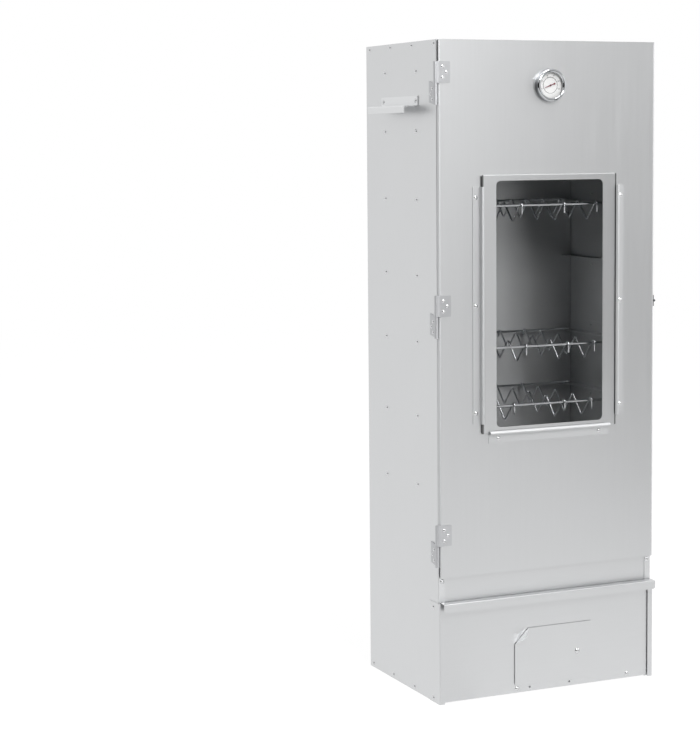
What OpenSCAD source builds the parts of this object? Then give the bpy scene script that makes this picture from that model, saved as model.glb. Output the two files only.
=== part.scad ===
// Free-standing cabinet smoker folded from steel sheet.
// Front faces -Y, +X is to the right of someone facing the door, +Z is up.
// The origin is the centre of the base, on the floor. All sizes are millimetres.

/* [Cabinet] */
// Width across the two side panels
body_w = 395; // [370:1:430]
// Depth from the front flanges to the rear flanges
body_d = 260; // [240:1:320]
// Height of the side panels
body_h = 1050; // [1046:1:1200]
// Thickness of the folded sheet
sheet = 1; // [0.8:0.05:1.2]
// Width of the side panels' inward front flanges
front_flange = 11.5; // [10:0.5:14]
// Width of the side panels' inward rear flanges
rear_flange = 14; // [12:0.5:20]
// Depth of the turned edges of the roof and the floor pan
pan_edge = 14; // [12:0.5:18]
// Height of the lower edge of the cross strip under the door
strip_bottom = 140; // [130:1:148]
// How far the cross strip rises behind the door
strip_lap = 12; // [10:0.5:20]
// Depth of the cross strip's stiffening edges
strip_edge = 12; // [8:0.5:16]

/* [Rack rails] */
// Width of the ledge that carries a rack
rail_ledge = 20; // [18:0.5:24]
// Height of the leg riveted to the wall
rail_leg = 20; // [18:0.5:24]
// Distance from the ledge to the rivets in the leg
rail_rivet_rise = 12.5; // [10:0.5:14]
// Distance between the two rivets of a rail
rail_rivet_span = 115; // [90:1:140]
// Gap between a rail's ends and the front and back of the cabinet
rail_end_gap = 4; // [3:0.5:8]
// Distance from the top of the cabinet down to the top ledge
rail_drop = 59; // [55:0.5:65]
// Step from the top ledge down to the sixth
rail_step_6 = 95; // [90:0.5:100]
// Step from the sixth ledge down to the fifth
rail_step_5 = 108.5; // [104:0.5:114]
// Step from the fifth ledge down to the fourth, whose leg turns down
rail_step_4 = 96; // [90:0.5:102]
// Step from the fourth ledge down to the third
rail_step_3 = 131; // [125:0.5:137]
// Step from the third ledge down to the second, whose leg turns down
rail_step_2 = 94.5; // [90:0.5:100]
// Step from the second ledge down to the lowest, which carries the water pan
rail_step_1 = 136; // [126:0.5:146]

/* [Carry handles] */
// Length of a handle
handle_len = 134; // [125:1:150]
// How far a handle reaches out from the side panel
handle_reach = 26; // [22:0.5:34]
// Height of the flange riveted to the side panel
handle_flange = 15; // [13:0.5:18]
// Height of the lip under the shelf of the handle
handle_lip = 11.5; // [9:0.5:15]
// Sheet thickness of the handles
handle_t = 1.5; // [1.2:0.1:2]
// Distance from the top of the cabinet down to the shelf of a handle
handle_drop = 100.5; // [70:0.5:140]
// Distance between the two rivets of a handle
handle_rivet_span = 119; // [100:1:120]

/* [Door] */
// Height of the lower edge of the door
door_bottom = 204; // [202:1:212]
// How far the door's face stands ahead of the cabinet
door_proud = 6; // [5.5:0.1:7]
// How far the door's edges lie inside the side panels
door_inset = 0.5; // [0.2:0.1:1.5]
// Width of the seal behind the door's edges
seal_w = 8; // [6:0.5:9]

/* [Hinges] */
// Height of a closed hinge
hinge_len = 67; // [56:1:80]
// Distance from the top of the cabinet to the upper hinge
hinge_top = 34; // [25:1:60]
// Distance from the lower edge of the door to the lower hinge
hinge_foot = 18; // [15:1:40]
// Reach of a hinge's door leaf from the corner of the cabinet
leaf_w = 20.5; // [19:0.5:24]
// Reach of a hinge's cabinet leaf from the corner of the cabinet
side_leaf_w = 22.5; // [22:0.5:26]
// Thickness of a hinge leaf
leaf_t = 1.5; // [1.2:0.1:2]
// Outer diameter of the knuckles
knuckle_d = 6.4; // [6:0.1:7]
// Diameter of the hinge pins
pin_d = 3.4; // [2.6:0.1:3.8]

/* [Window] */
// Width of the sliding window frame
window_w = 247; // [230:1:260]
// Height of the sliding window frame
window_h = 410; // [395:1:420]
// Height of the lower edge of the window frame
window_sill = 429.5; // [422:0.5:440]
// Thickness of the window frame
window_t = 3.2; // [3:0.1:3.6]
// Width of the side borders of the window frame
window_border = 26; // [22:0.5:30]
// Height of the upper and lower borders of the window frame
window_rim = 9.5; // [8:0.5:14]
// Corner radius of the clear opening
window_r = 8; // [5:0.5:14]
// Thickness of the pane
glass_t = 2; // [1.6:0.1:2.2]
// Lap of the pane behind the frame's lip
glass_lap = 4; // [3:0.5:5]
// Width of the bead between pane and frame
bead_w = 1.4; // [1:0.1:2]
// Flange of the tracks riveted to the door
track_flange = 12; // [11:0.5:15]
// Height of the side tracks
track_len = 375; // [350:1:385]
// How far the side tracks start above the lower edge of the window frame
track_rise = 16.5; // [14:0.5:24]
// Length of the track under the window
sill_len = 221; // [200:1:226]
// Height of the flange of the track under the window
sill_flange = 14; // [13:0.5:18]
// Lap of the track lips over the window frame
track_lap = 2.5; // [2:0.25:4]
// Gap between the window frame's face and the edges of the track lips
lip_gap = 2; // [1:0.25:3]

/* [Thermometer] */
// Outer diameter of the case
dial_d = 52; // [46:1:60]
// Room behind the dial for the coil that turns the needle
coil_room = 1.5; // [1:0.25:5]
// Width of the rounded bezel ring
bezel_w = 6; // [5:0.25:7]
// Distance from the top of the cabinet to the centre of the dial
dial_drop = 70.5; // [64:0.5:80]
// Length of the probe behind the door
probe_len = 60; // [40:1:90]
// Diameter of the probe
probe_d = 6; // [5:0.5:8]

/* [Draught panel] */
// Height of the top of the grip bar
bar_top = 164.5; // [158:0.5:168]
// How far the grip bar stands ahead of the cabinet
bar_reach = 18; // [15:0.5:22]
// Height of the lip of the grip bar
bar_lip = 14; // [11:0.5:16]
// Gap between the panel and the floor
panel_foot = 2.5; // [1.5:0.5:5]
// How far the panel's edges lie inside the side panels
panel_inset = 2; // [1.5:0.5:4]
// Depth of the slot in which the panel slides
guide_slot = 5; // [4.8:0.1:6]
// Width of a guide's front leg
guide_front = 9.5; // [8:0.5:12]
// Depth of a guide's side leg on the side panel
guide_side = 30; // [26:0.5:36]

/* [Air shutter] */
// Width of the shutter plate
shutter_w = 144; // [130:1:160]
// Height of the shutter plate
shutter_h = 92; // [84:1:98]
// Height of the lower edge of the shutter plate
shutter_foot = 15; // [14:0.5:18]
// Distance from the cabinet's centre to the left edge of the shutter
shutter_left = 62; // [50:1:75]
// Distance from the right edge of the shutter to its pivot
pivot_inset = 28; // [22:1:36]
// Height of the pivot above the lower edge of the shutter
pivot_rise = 44; // [38:1:50]
// Side of the corner folded out as a finger tab
tab_leg = 24.5; // [18:0.5:28]
// Thickness of the shutter plate
shutter_t = 1.2; // [1:0.1:1.5]
// Diameter of the pivot shank
pivot_d = 5; // [4:0.5:6]
// Width of the air hole behind the shutter
air_w = 70; // [40:1:74]
// Height of the air hole behind the shutter
air_h = 56; // [40:1:60]

/* [Racks] */
// Diameter of the cross rods
rod_d = 4; // [3.4:0.1:5]
// Diameter of the zigzag wires
wire_d = 3; // [2.4:0.1:3.4]
// Height between the upper and lower bend centres of a zigzag
zigzag_drop = 22; // [16:0.5:26]
// Number of waves from front to back
waves = 4; // [3:1:5]
// Length of the hooked front ends
front_hook = 14; // [8:0.5:18]
// Length of the hooked rear ends
rear_hook = 8; // [5:0.5:12]
// Distance of the front rod behind the front of the cabinet
rod_front = 15; // [14:0.5:22]
// Distance of the rear rod ahead of the back of the cabinet
rod_back = 15; // [13:0.5:22]
// Mean spacing of the zigzag wires
wire_pitch = 71; // [60:1:80]

/* [Pans] */
// Depth of the water pan
water_depth = 30; // [20:1:45]
// Gap between the water pan's rim and the front and back of the cabinet
water_gap = 12; // [10:1:20]
// Corner radius of the water pan
water_r = 14; // [8:1:24]
// Wall of the pressed pans
pan_t = 1.2; // [1:0.1:1.6]
// Width of the ember tray
ember_w = 300; // [240:1:330]
// Depth of the ember tray from front to back
ember_d = 200; // [160:1:212]
// Height of the ember tray
ember_h = 38; // [25:1:50]
// Distance of the ember tray behind the front of the cabinet
ember_front = 14; // [12:0.5:20]

/* [Latch] */
// Height of the latch
latch_z = 629; // [560:1:700]
// Distance from the cabinet's front to the latch pivot
latch_back = 20; // [18:0.5:26]
// Width of the latch hook
latch_w = 9; // [8.5:0.25:10]
// Thickness of the latch hook
latch_t = 1.5; // [1.2:0.1:2]
// Diameter of the stud on the door that the hook catches
stud_d = 3.6; // [3:0.2:4]
// Diameter of the latch pivot
latch_pivot_d = 4; // [3.4:0.2:5]

/* [Roof damper] */
// Diameter of the smoke vent in the roof
vent_d = 60; // [40:1:70]
// Lap of the damper disc round the vent
damper_lap = 8; // [6:0.5:12]
// Distance from the vent's centre to the damper pivot
damper_arm = 52; // [50:1:60]

/* [Fits] */
// Diameter of the rivet shanks
rivet_d = 4; // [3.2:0.1:4.4]
// Diameter of the rivet heads
rivet_head = 8; // [7:0.25:8.5]
// Height of the rivet heads
rivet_rise = 2; // [1.4:0.1:2.2]
// Radial clearance of a pin or shank that turns
run_gap = 0.05; // [0.03:0.01:0.08]
// Clearance of a part that slides or lies on another
seat_gap = 0.3; // [0.25:0.05:0.4]

/* [Hidden] */

$fn = 48;
steel = "#c9cdd1";
dark_steel = "#5b5f63";
rod_steel = "#d9dcdf";
black = "#26282a";

// Main planes of the cabinet
x_side = body_w / 2;
x_wall = x_side - sheet;
y_front = -body_d / 2;
y_back = body_d / 2;
bend_clear = 2 * sheet;
slip = 0.1;
// How far a cutter reaches past the faces that it cuts
over = 1;
plate_r = 3;

// Cross strip between the door and the draught panel
strip_top = door_bottom + strip_lap;
strip_rivet_drop = 6.5;
strip_rivet_z = door_bottom - strip_rivet_drop;
flange_rivet_x = x_side - front_flange * 0.62;

// Rails: ledge heights and the way each leg turns
rail_7 = body_h - rail_drop;
rail_6 = rail_7 - rail_step_6;
rail_5 = rail_6 - rail_step_5;
rail_4 = rail_5 - rail_step_4;
rail_3 = rail_4 - rail_step_3;
rail_2 = rail_3 - rail_step_2;
rail_1 = rail_2 - rail_step_1;
ledges = [rail_1, rail_2, rail_3, rail_4, rail_5, rail_6, rail_7];
leg_turns = [1, -1, 1, -1, 1, 1, 1];
rail_y = [y_front + rail_end_gap, y_back - rail_end_gap];
rail_rivet_y = [-rail_rivet_span / 2, rail_rivet_span / 2];
x_ledge = x_wall - rail_ledge;

// Rivet rows along the edges of the side panels
edge_rivet_z = [pan_edge * 0.45, body_h - pan_edge * 0.4];
guide_rivet_y = y_front + guide_side * 0.58;
edge_rivet_end = 8;
edge_rivet_rear = 11;
edge_rivet_step = (body_d - 2 * bend_clear - edge_rivet_end - edge_rivet_rear) / 3;
edge_rivet_y = [for (i = [0:3]) y_front + bend_clear + edge_rivet_end + i * edge_rivet_step];
edge_rivet_rows = [concat([guide_rivet_y], [for (i = [1:3]) edge_rivet_y[i]]), edge_rivet_y];
shank_hole = rivet_d / 2 + run_gap;

// Rivet rows of the back panel
back_rivet_x = x_side - rear_flange / 2;
back_side_rivet_z = [for (i = [0:4]) pan_edge * 3 + i * (body_h - pan_edge * 6) / 4];
back_edge_rivet_x = [-body_w / 4, 0, body_w / 4];

// Carry handles
handle_z = body_h - handle_drop;
handle_rivet_z = handle_z + handle_flange * 0.52;

// Door
x_door = x_side - door_inset;
y_door = y_front - door_proud;
y_skin = y_door + sheet;
door_gap = 0.5;
y_return = y_front - door_gap;
door_top = body_h;

// Hinges: axis beside the left front corner
knuckle_r = knuckle_d / 2;
knuckle_gap = 0.7;
hinge_x = -x_door - knuckle_r - knuckle_gap;
hinge_y = y_door - leaf_t * 0.75 + knuckle_r;
half_hinge = hinge_len / 2;
hinge_high = body_h - hinge_top - half_hinge;
hinge_low = door_bottom + hinge_foot + half_hinge;
hinge_zs = [hinge_low, (hinge_low + hinge_high) / 2, hinge_high];
pin_short = 4;
pin_reach = half_hinge - pin_short;
leaf_gap = seat_gap / 2;
leaf_near = 7.5;
leaf_far = 14;
side_near = 12.5;
side_far = 18;
leaf_rivet_rise = 8.5;
leaf_shank = 2.6;
leaf_head = 5.4;
leaf_head_rise = rivet_rise * 0.6;
leaf_hole = leaf_shank / 2 + run_gap;
leaf_corner = 1.5;
leaf_skew = 4;
leaf_shoulder = hinge_y + knuckle_r + leaf_gap + knuckle_gap;
pin_tip = pin_d * 0.3;

// Window and its tracks
window_top = window_sill + window_h;
slide_gap = seat_gap + slip;
pane_sink = 0.2;
y_window_back = y_door - slide_gap;
y_window = y_window_back - window_t;
clear_w = window_w - 2 * window_border;
clear_low = window_sill + window_rim;
clear_high = window_top - window_rim;
lip_t = window_t - glass_t - pane_sink;
pane_w = clear_w + 2 * glass_lap;
pane_low = clear_low - glass_lap;
pane_high = clear_high + glass_lap;
rebate = bead_w + slip;
track_play = 1.5;
x_track = window_w / 2 + track_play;
lip_run = track_play + sheet / 2 + track_lap;
y_tip = y_window - lip_gap - sheet * 0.36 - lip_run;
lip_chords = 12;
frame_bevel = 1.2;
track_low = window_sill + track_rise;
track_high = track_low + track_len;
track_rivet_x = x_track + sheet + track_flange * 0.55;
track_rivet_end = 17;
track_rivet_head = rivet_head * 0.85;
track_rivet_top = rivet_rise * 0.8;
track_rivet_z = [track_low + track_rivet_end, (track_low + track_high) / 2, track_high - track_rivet_end];
sill_ease = 0.2;
sill_web = window_sill - seat_gap - sill_ease;
sill_rivet_z = sill_web - sheet - sill_flange * 0.5;
sill_rivet_end = 18;
sill_rivet_x = sill_len / 2 - sill_rivet_end;
hole_margin = 4;
door_hole_w = clear_w + 2 * hole_margin;
door_hole_low = clear_low - hole_margin;
door_hole_high = clear_high + hole_margin;

// Thermometer, measured forward from the door's face
dial_z = body_h - dial_drop;
case_r = dial_d / 2;
case_wall = 1.2;
bore_r = case_r - case_wall;
dial_ledge = 2;
dial_t = 0.8;
dial_seat = case_wall + coil_room;
needle_lift = 0.8;
needle_t = 0.6;
needle_seat = dial_seat + dial_t + needle_lift;
spindle_r = 0.8;
spindle_gap = 0.4;
spindle_proud = 0.6;
spindle_top = needle_seat + needle_t + spindle_proud;
dial_bore = spindle_r + spindle_gap;
lens_t = 1.2;
lens_clear = 0.8;
lens_seat = spindle_top + lens_clear;
bezel_foot = lens_seat + lens_t;
case_depth = bezel_foot + bezel_w / 2;
neck_wall = 2;
neck_r = probe_d / 2 + neck_wall;
nut_flats = 17;
nut_t = 4;
neck_spare = 1.5;
neck_back = sheet + nut_t + neck_spare;
neck_front = 0.5;
needle_long = 11;
needle_tail = 9;
needle_root = 0.8;
needle_point = 0.25;
tail_half = 0.6;
weight_r = 1.5;
hub_r = 1.5;
rest_turn = 20;

// Draught panel and its guides
panel_w = body_w - 2 * panel_inset;
y_panel = y_front - rivet_rise - seat_gap - slip - sheet / 2;
y_panel_face = y_panel - sheet / 2;
y_bar = y_front - bar_reach;
bar_r = 4;
guide_top = bar_top - sheet - seat_gap;
guide_rivet_drop = 9;
guide_rivet_z = guide_top - guide_rivet_drop;
low_rivet_z = 9;
spare_hole_d = 3.4;
air_r = 6;

// Air shutter
shutter_x = [-shutter_left, shutter_w - shutter_left];
shutter_z = [shutter_foot, shutter_foot + shutter_h];
pivot_x = shutter_x[1] - pivot_inset;
pivot_z = shutter_foot + pivot_rise;
shutter_lift = 0.8;
y_shutter = y_panel_face - shutter_lift;
y_shutter_face = y_shutter - shutter_t;
air_shift = 4;
air_x = (shutter_x[0] + pivot_x) / 2 - air_shift;
air_z = shutter_foot + shutter_h / 2;
spare_hole_left = 28;
spare_hole_right = 42;
spare_hole_x = [shutter_x[0] + spare_hole_left, shutter_x[1] - spare_hole_right];
stop_inset = 4.5;
twin_inset = 45;
panel_rivet_x = [shutter_x[0] + stop_inset, panel_w / 2 - twin_inset];
collar_lap = 3;
head_lap = 4;
pivot_collar = pivot_d + collar_lap;
pivot_head = pivot_d + head_lap;
tab_tip = 2.5;

// Racks
rod_r = rod_d / 2;
wire_r = wire_d / 2;
wire_bend = rod_r + wire_r + slip;
rod_end_gap = 3;
rod_half = x_side - front_flange - rod_end_gap;
rod_y = [y_front + rod_front, y_back - rod_back];
half_wave = (rod_y[1] - rod_y[0]) / (2 * waves);
centre_run = sqrt(half_wave * half_wave + zigzag_drop * zigzag_drop);
leg_slope = atan2(zigzag_drop, half_wave) + asin(2 * wire_bend / centre_run);
rack_lift = seat_gap + rod_r;
// The wires hang loose on the rods, so each rack has them a little out of step
top_shift = [-5, -4, 3, -7];
middle_shift = [-4, 4, 11, -11];
lower_shift = [-16, -18, 4, -16];

// Pans
water_side_gap = 1.5;
water_rim_gap = 2;
water_x = x_ledge - water_side_gap;
water_rim_x = x_side - front_flange - water_rim_gap;
water_end_rim = 8;
water_top = rail_1 + seat_gap + pan_t;
water_y = [y_front + water_gap, y_back - water_gap];
ember_floor = sheet + seat_gap;
ember_y = [y_front + ember_front, y_front + ember_front + ember_d];
pull_w = 80;
pull_reach = 6;

// Latch on the right side
latch_y = y_front + latch_back;
keeper_h = 18;
keeper_t = 1.2;
stud_y = (y_door + y_return) / 2;
stud_run = latch_y - stud_y;
x_keeper = x_door + keeper_t;
keeper_shank = 1.6;
keeper_head = 3.4;
keeper_rivet_rise = keeper_h / 2 - 1.9;
slot_ease = 0.7;
keeper_rise = 0.8;
x_hook = x_keeper + keeper_rise + seat_gap;
x_latch_head = x_hook + latch_t + seat_gap;
latch_head_t = 1.4;

// Roof damper
damper_r = vent_d / 2 + damper_lap;
damper_t = 1.2;
damper_z = body_h + seat_gap;
damper_pivot_d = 5;
damper_tail = 9;
damper_head_rise = 1.6;
tab_w = 16;
tab_rise = 3;
tab_reach = 3;

// A box between two corners
module block(low, high) {
  translate(low) cube(high - low);
}

// One straight run of a folded sheet's section, between two points of its middle line
module fold_run(a, b, t) {
  run = b - a;
  translate(a) rotate(atan2(run[1], run[0])) translate([0, -t / 2]) square([norm(run), t]);
}

// One square bend of a folded sheet's section at corner p, turning from direction u to v
module fold_bend(p, u, v, t) {
  r = 1.5 * t;
  reach = 2 * (r + t);
  translate(p + r * (v - u)) intersection() {
    difference() {
      circle(r + t / 2);
      circle(r - t / 2);
    }
    polygon([[0, 0], -reach * v, reach * (u - v), reach * u]);
  }
}

// Section of a sheet of thickness t folded square along the middle line given by path
module fold(path, t = sheet) {
  last = len(path) - 1;
  r = 1.5 * t;
  ways = [for (i = [0:last - 1]) (path[i + 1] - path[i]) / norm(path[i + 1] - path[i])];
  for (i = [0:last - 1]) {
    a = path[i] + (i == 0 ? 0 : r) * ways[i];
    b = path[i + 1] - (i == last - 1 ? 0 : r) * ways[i];
    fold_run(a, b, t);
  }
  for (i = [1:1:last - 1]) fold_bend(path[i], ways[i - 1], ways[i], t);
}

// A section drawn in X and Z, drawn out along Y between two planes
module along_y(y0, y1) {
  translate([0, y1, 0]) rotate([90, 0, 0]) linear_extrude(y1 - y0) children();
}

// A section drawn in Y and Z, drawn out along X between two planes
module along_x(x0, x1) {
  translate([x0, 0, 0]) rotate([90, 0, 90]) linear_extrude(x1 - x0) children();
}

// A section drawn in X and Y, drawn up between two heights
module along_z(z0, z1) {
  translate([0, 0, z0]) linear_extrude(z1 - z0) children();
}

// A rectangle between two corners with round corners
module round_rect(low, high, r) {
  translate([low[0] + r, low[1]]) square([high[0] - low[0] - 2 * r, high[1] - low[1]]);
  translate([low[0], low[1] + r]) square([high[0] - low[0], high[1] - low[1] - 2 * r]);
  for (x = [low[0] + r, high[0] - r], y = [low[1] + r, high[1] - r]) translate([x, y]) circle(r);
}

// A domed head of diameter d and height h standing on z = 0
module dome(d, h) {
  ball = (d * d / 4 + h * h) / (2 * h);
  intersection() {
    translate([0, 0, h - ball]) sphere(ball, $fn = 64);
    cylinder(d = d * 1.5, h = h * 1.5);
  }
}

// A rivet with its head on z = 0 and a shank of the given grip below
module rivet(grip, head = rivet_head, rise = rivet_rise, shank = rivet_d) {
  dome(head, rise);
  translate([0, 0, -grip]) cylinder(d = shank, h = grip);
}

// Places its children with their head pointing out of the left, front or back face
module on_left(y, z, x = -x_side) {
  translate([x, y, z]) rotate([0, -90, 0]) children();
}
module on_front(x, y, z) {
  translate([x, y, z]) rotate([90, 0, 0]) children();
}
module on_back(x, z) {
  translate([x, y_back, z]) rotate([-90, 0, 0]) children();
}

// All places of rivets in a side panel, as [y, z, extra grip ahead of the panel, grip behind]
side_rivet_places = concat(
  [for (y = edge_rivet_y) [y, edge_rivet_z[1], 0, 1]],
  [for (i = [1:3]) [edge_rivet_rows[0][i], edge_rivet_z[0], 0, 1]],
  [[guide_rivet_y, edge_rivet_z[0], sheet, 1], [guide_rivet_y, guide_rivet_z, sheet, 0]],
  [for (i = [0:len(ledges) - 1], y = rail_rivet_y) [y, ledges[i] + leg_turns[i] * rail_rivet_rise, 0, 1]],
  [for (y = [-handle_rivet_span / 2, handle_rivet_span / 2]) [y, handle_rivet_z, handle_t, 0]]);

module side_rivet_holes(depth) {
  for (p = side_rivet_places) {
    on_left(p[0], p[1]) translate([0, 0, -depth]) cylinder(r = shank_hole, h = depth * 2);
  }
}

module side_rivets() {
  for (p = side_rivet_places) on_left(p[0], p[1], -x_side - p[2]) rivet(p[2] + sheet + p[3] * sheet);
}

// Holes for the hinge leaves' rivets in the left side panel
module hinge_cabinet_places() {
  for (z = hinge_zs) {
    mid = z - half_hinge / 2;
    for (rise = [-leaf_rivet_rise, leaf_rivet_rise]) {
      on_left(y_front + side_near, mid + rise) children();
    }
    on_left(y_front + side_far, mid) children();
  }
}

module hinge_door_places() {
  for (z = hinge_zs) {
    mid = z + half_hinge / 2;
    for (rise = [-leaf_rivet_rise, leaf_rivet_rise]) {
      on_front(-x_side + leaf_near, y_door, mid + rise) children();
    }
    on_front(-x_side + leaf_far, y_door, mid) children();
  }
}

// Side panel with its front and rear flanges, drawn for the left side
module side_panel() {
  half = sheet / 2;
  difference() {
    along_z(0, body_h) fold([
      [-x_side + front_flange, y_front + half],
      [-x_side + half, y_front + half],
      [-x_side + half, y_back - half],
      [-x_side + rear_flange, y_back - half]]);
    side_rivet_holes(2 * sheet);
    on_front(-flange_rivet_x, y_front - sheet, strip_rivet_z) translate([0, 0, -3 * sheet]) {
      cylinder(r = shank_hole, h = 4 * sheet);
    }
    for (z = back_side_rivet_z) {
      on_back(-back_rivet_x, z) translate([0, 0, -2 * sheet]) cylinder(r = shank_hole, h = 4 * sheet);
    }
  }
}

module left_side() {
  color(steel) difference() {
    side_panel();
    hinge_cabinet_places() translate([0, 0, -2 * sheet]) cylinder(r = leaf_hole, h = 4 * sheet);
  }
}

module right_side() {
  color(steel) difference() {
    mirror([1, 0, 0]) side_panel();
    translate([x_wall - sheet, latch_y, latch_z]) rotate([0, 90, 0]) {
      cylinder(d = latch_pivot_d + 2 * run_gap, h = 4 * sheet);
    }
  }
}

module back_panel() {
  color(steel) difference() {
    block([-x_side + bend_clear, y_back - 2 * sheet, 0], [x_side - bend_clear, y_back - sheet, body_h]);
    for (x = [-back_rivet_x, back_rivet_x], z = back_side_rivet_z) {
      on_back(x, z) translate([0, 0, -3 * sheet]) cylinder(r = shank_hole, h = 4 * sheet);
    }
    for (x = back_edge_rivet_x, z = edge_rivet_z) {
      on_back(x, z) translate([0, 0, -3 * sheet]) cylinder(r = shank_hole, h = 4 * sheet);
    }
  }
}

// A pan folded from sheet with four turned edges, open side down, its face at z = 0
module folded_pan() {
  half = sheet / 2;
  x = x_wall - half;
  y0 = y_front + bend_clear + half;
  y1 = y_back - bend_clear - half;
  along_y(y0 + bend_clear, y1 - bend_clear) {
    fold([[-x, -pan_edge], [-x, -half], [x, -half], [x, -pan_edge]]);
  }
  along_x(-x + bend_clear, x - bend_clear) {
    fold([[y0, -pan_edge], [y0, -half], [y1, -half], [y1, -pan_edge]]);
  }
}

// Holes through the turned edges of the roof at height row 1, or of the floor pan at row 0
module pan_rivet_holes(row) {
  z = edge_rivet_z[row];
  for (turn = [0, 1], y = edge_rivet_rows[row]) mirror([turn, 0, 0]) {
    on_left(y, z) translate([0, 0, -4 * sheet]) cylinder(r = shank_hole, h = 4 * sheet);
  }
  for (x = back_edge_rivet_x) {
    on_back(x, z) translate([0, 0, -4 * sheet]) cylinder(r = shank_hole, h = 4 * sheet);
  }
}

module roof() {
  color(steel) difference() {
    translate([0, 0, body_h]) folded_pan();
    pan_rivet_holes(1);
    translate([0, 0, body_h - 2 * sheet]) cylinder(d = vent_d, h = 4 * sheet);
    translate([damper_arm, 0, body_h - 2 * sheet]) cylinder(d = damper_pivot_d + 2 * run_gap, h = 4 * sheet);
  }
}

module floor_pan() {
  color(steel) difference() {
    mirror([0, 0, 1]) folded_pan();
    pan_rivet_holes(0);
  }
}

module front_strip() {
  half = sheet / 2;
  y = y_front + sheet + half;
  color(steel) difference() {
    along_x(-x_side + bend_clear + slip, x_side - bend_clear - slip) {
      fold([
        [y + strip_edge, strip_bottom + half],
        [y, strip_bottom + half],
        [y, strip_top - half],
        [y + strip_edge, strip_top - half]]);
    }
    for (x = [-flange_rivet_x, flange_rivet_x]) {
      on_front(x, y_front, strip_rivet_z) translate([0, 0, -3 * sheet]) {
        cylinder(r = shank_hole, h = 4 * sheet);
      }
    }
  }
}

// The angle rails of one wall, drawn for the left side
module wall_rails() {
  half = sheet / 2;
  difference() {
    for (i = [0:len(ledges) - 1]) {
      z = ledges[i] - half;
      along_y(rail_y[0], rail_y[1]) {
        fold([
          [-x_ledge, z],
          [-x_wall + half, z],
          [-x_wall + half, z + leg_turns[i] * (rail_leg - half)]]);
      }
    }
    side_rivet_holes(4 * sheet);
  }
}

module left_rails() {
  color(steel) wall_rails();
}

module right_rails() {
  color(steel) mirror([1, 0, 0]) wall_rails();
}

// Carry handle of Z section, drawn for the right side
module carry_handle() {
  half = handle_t / 2;
  difference() {
    along_y(-handle_len / 2, handle_len / 2) {
      fold([
        [x_side + half, handle_z + handle_flange],
        [x_side + half, handle_z - half],
        [x_side + handle_reach - half, handle_z - half],
        [x_side + handle_reach - half, handle_z - handle_lip]], handle_t);
    }
    mirror([1, 0, 0]) side_rivet_holes(3 * handle_t);
  }
}

module left_handle() {
  color(steel) mirror([1, 0, 0]) carry_handle();
}

module right_handle() {
  color(steel) carry_handle();
}

// Angle that guides the draught panel, drawn for the left side
module panel_guide() {
  half = sheet / 2;
  difference() {
    along_z(0, guide_top) {
      fold([
        [-x_side - sheet + guide_front, y_front - guide_slot - half],
        [-x_side - half, y_front - guide_slot - half],
        [-x_side - half, y_front + guide_side]]);
    }
    side_rivet_holes(3 * sheet);
  }
}

module left_guide() {
  color(steel) panel_guide();
}

module right_guide() {
  color(steel) mirror([1, 0, 0]) panel_guide();
}

module left_rivets() {
  color(rod_steel) side_rivets();
}

module right_rivets() {
  color(rod_steel) mirror([1, 0, 0]) side_rivets();
}

module back_rivets() {
  color(rod_steel) {
    for (x = [-back_rivet_x, back_rivet_x], z = back_side_rivet_z) on_back(x, z) rivet(2 * sheet);
    for (x = back_edge_rivet_x, z = edge_rivet_z) {
      translate([0, -sheet, 0]) on_back(x, z) rivet(2 * sheet);
    }
  }
}

module front_rivets() {
  color(rod_steel) for (x = [-flange_rivet_x, flange_rivet_x]) {
    on_front(x, y_front, strip_rivet_z) rivet(2 * sheet);
  }
}

// Leaf on the side panel with the lower knuckle, its ends cut on the skew
module hinge_cabinet_leaves() {
  color(steel) for (z = hinge_zs) {
    foot = z - half_hinge;
    head = z - leaf_gap;
    difference() {
      union() {
        along_x(-x_side - leaf_t, -x_side) {
          polygon([
            [hinge_y, foot],
            [leaf_shoulder, foot],
            [y_front + side_leaf_w, foot + leaf_skew],
            [y_front + side_leaf_w, head + leaf_skew],
            [leaf_shoulder, head],
            [hinge_y, head]]);
        }
        translate([hinge_x, hinge_y, foot]) cylinder(r = knuckle_r, h = head - foot);
      }
      translate([hinge_x, hinge_y, foot - 1]) cylinder(d = pin_d, h = hinge_len);
      hinge_cabinet_places() translate([0, 0, -sheet]) cylinder(r = leaf_hole, h = 4 * leaf_t);
    }
  }
}

// Pins fixed in the lower knuckles, with round tips, on which the door lifts off
module hinge_pins() {
  color(rod_steel) for (z = hinge_zs) {
    translate([hinge_x, hinge_y, z - half_hinge]) cylinder(d = pin_d, h = half_hinge + pin_reach);
    translate([hinge_x, hinge_y, z + pin_reach]) dome(pin_d, pin_tip);
  }
}

module hinge_cabinet_rivets() {
  color(rod_steel) hinge_cabinet_places() {
    translate([0, 0, leaf_t]) rivet(leaf_t + sheet, leaf_head, leaf_head_rise, leaf_shank);
  }
}

// Leaf on the door with the upper knuckle, blind over the pin
module hinge_door_leaves() {
  color(steel) for (z = hinge_zs) {
    foot = z + leaf_gap;
    head = z + half_hinge;
    difference() {
      union() {
        along_y(y_door - leaf_t, y_door) {
          translate([hinge_x, foot]) square([leaf_w - x_side - hinge_x - leaf_corner, head - foot]);
          for (z = [foot + leaf_corner, head - leaf_corner]) {
            translate([leaf_w - x_side - leaf_corner, z]) circle(leaf_corner);
          }
          translate([leaf_w - x_side - 2 * leaf_corner, foot + leaf_corner]) {
            square([2 * leaf_corner, head - foot - 2 * leaf_corner]);
          }
        }
        translate([hinge_x, hinge_y, foot]) cylinder(r = knuckle_r, h = head - foot);
      }
      translate([hinge_x, hinge_y, foot - over]) cylinder(r = pin_d / 2 + run_gap, h = pin_reach + 3 * over);
      hinge_door_places() translate([0, 0, -sheet]) cylinder(r = leaf_hole, h = 4 * leaf_t);
    }
  }
}

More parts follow.
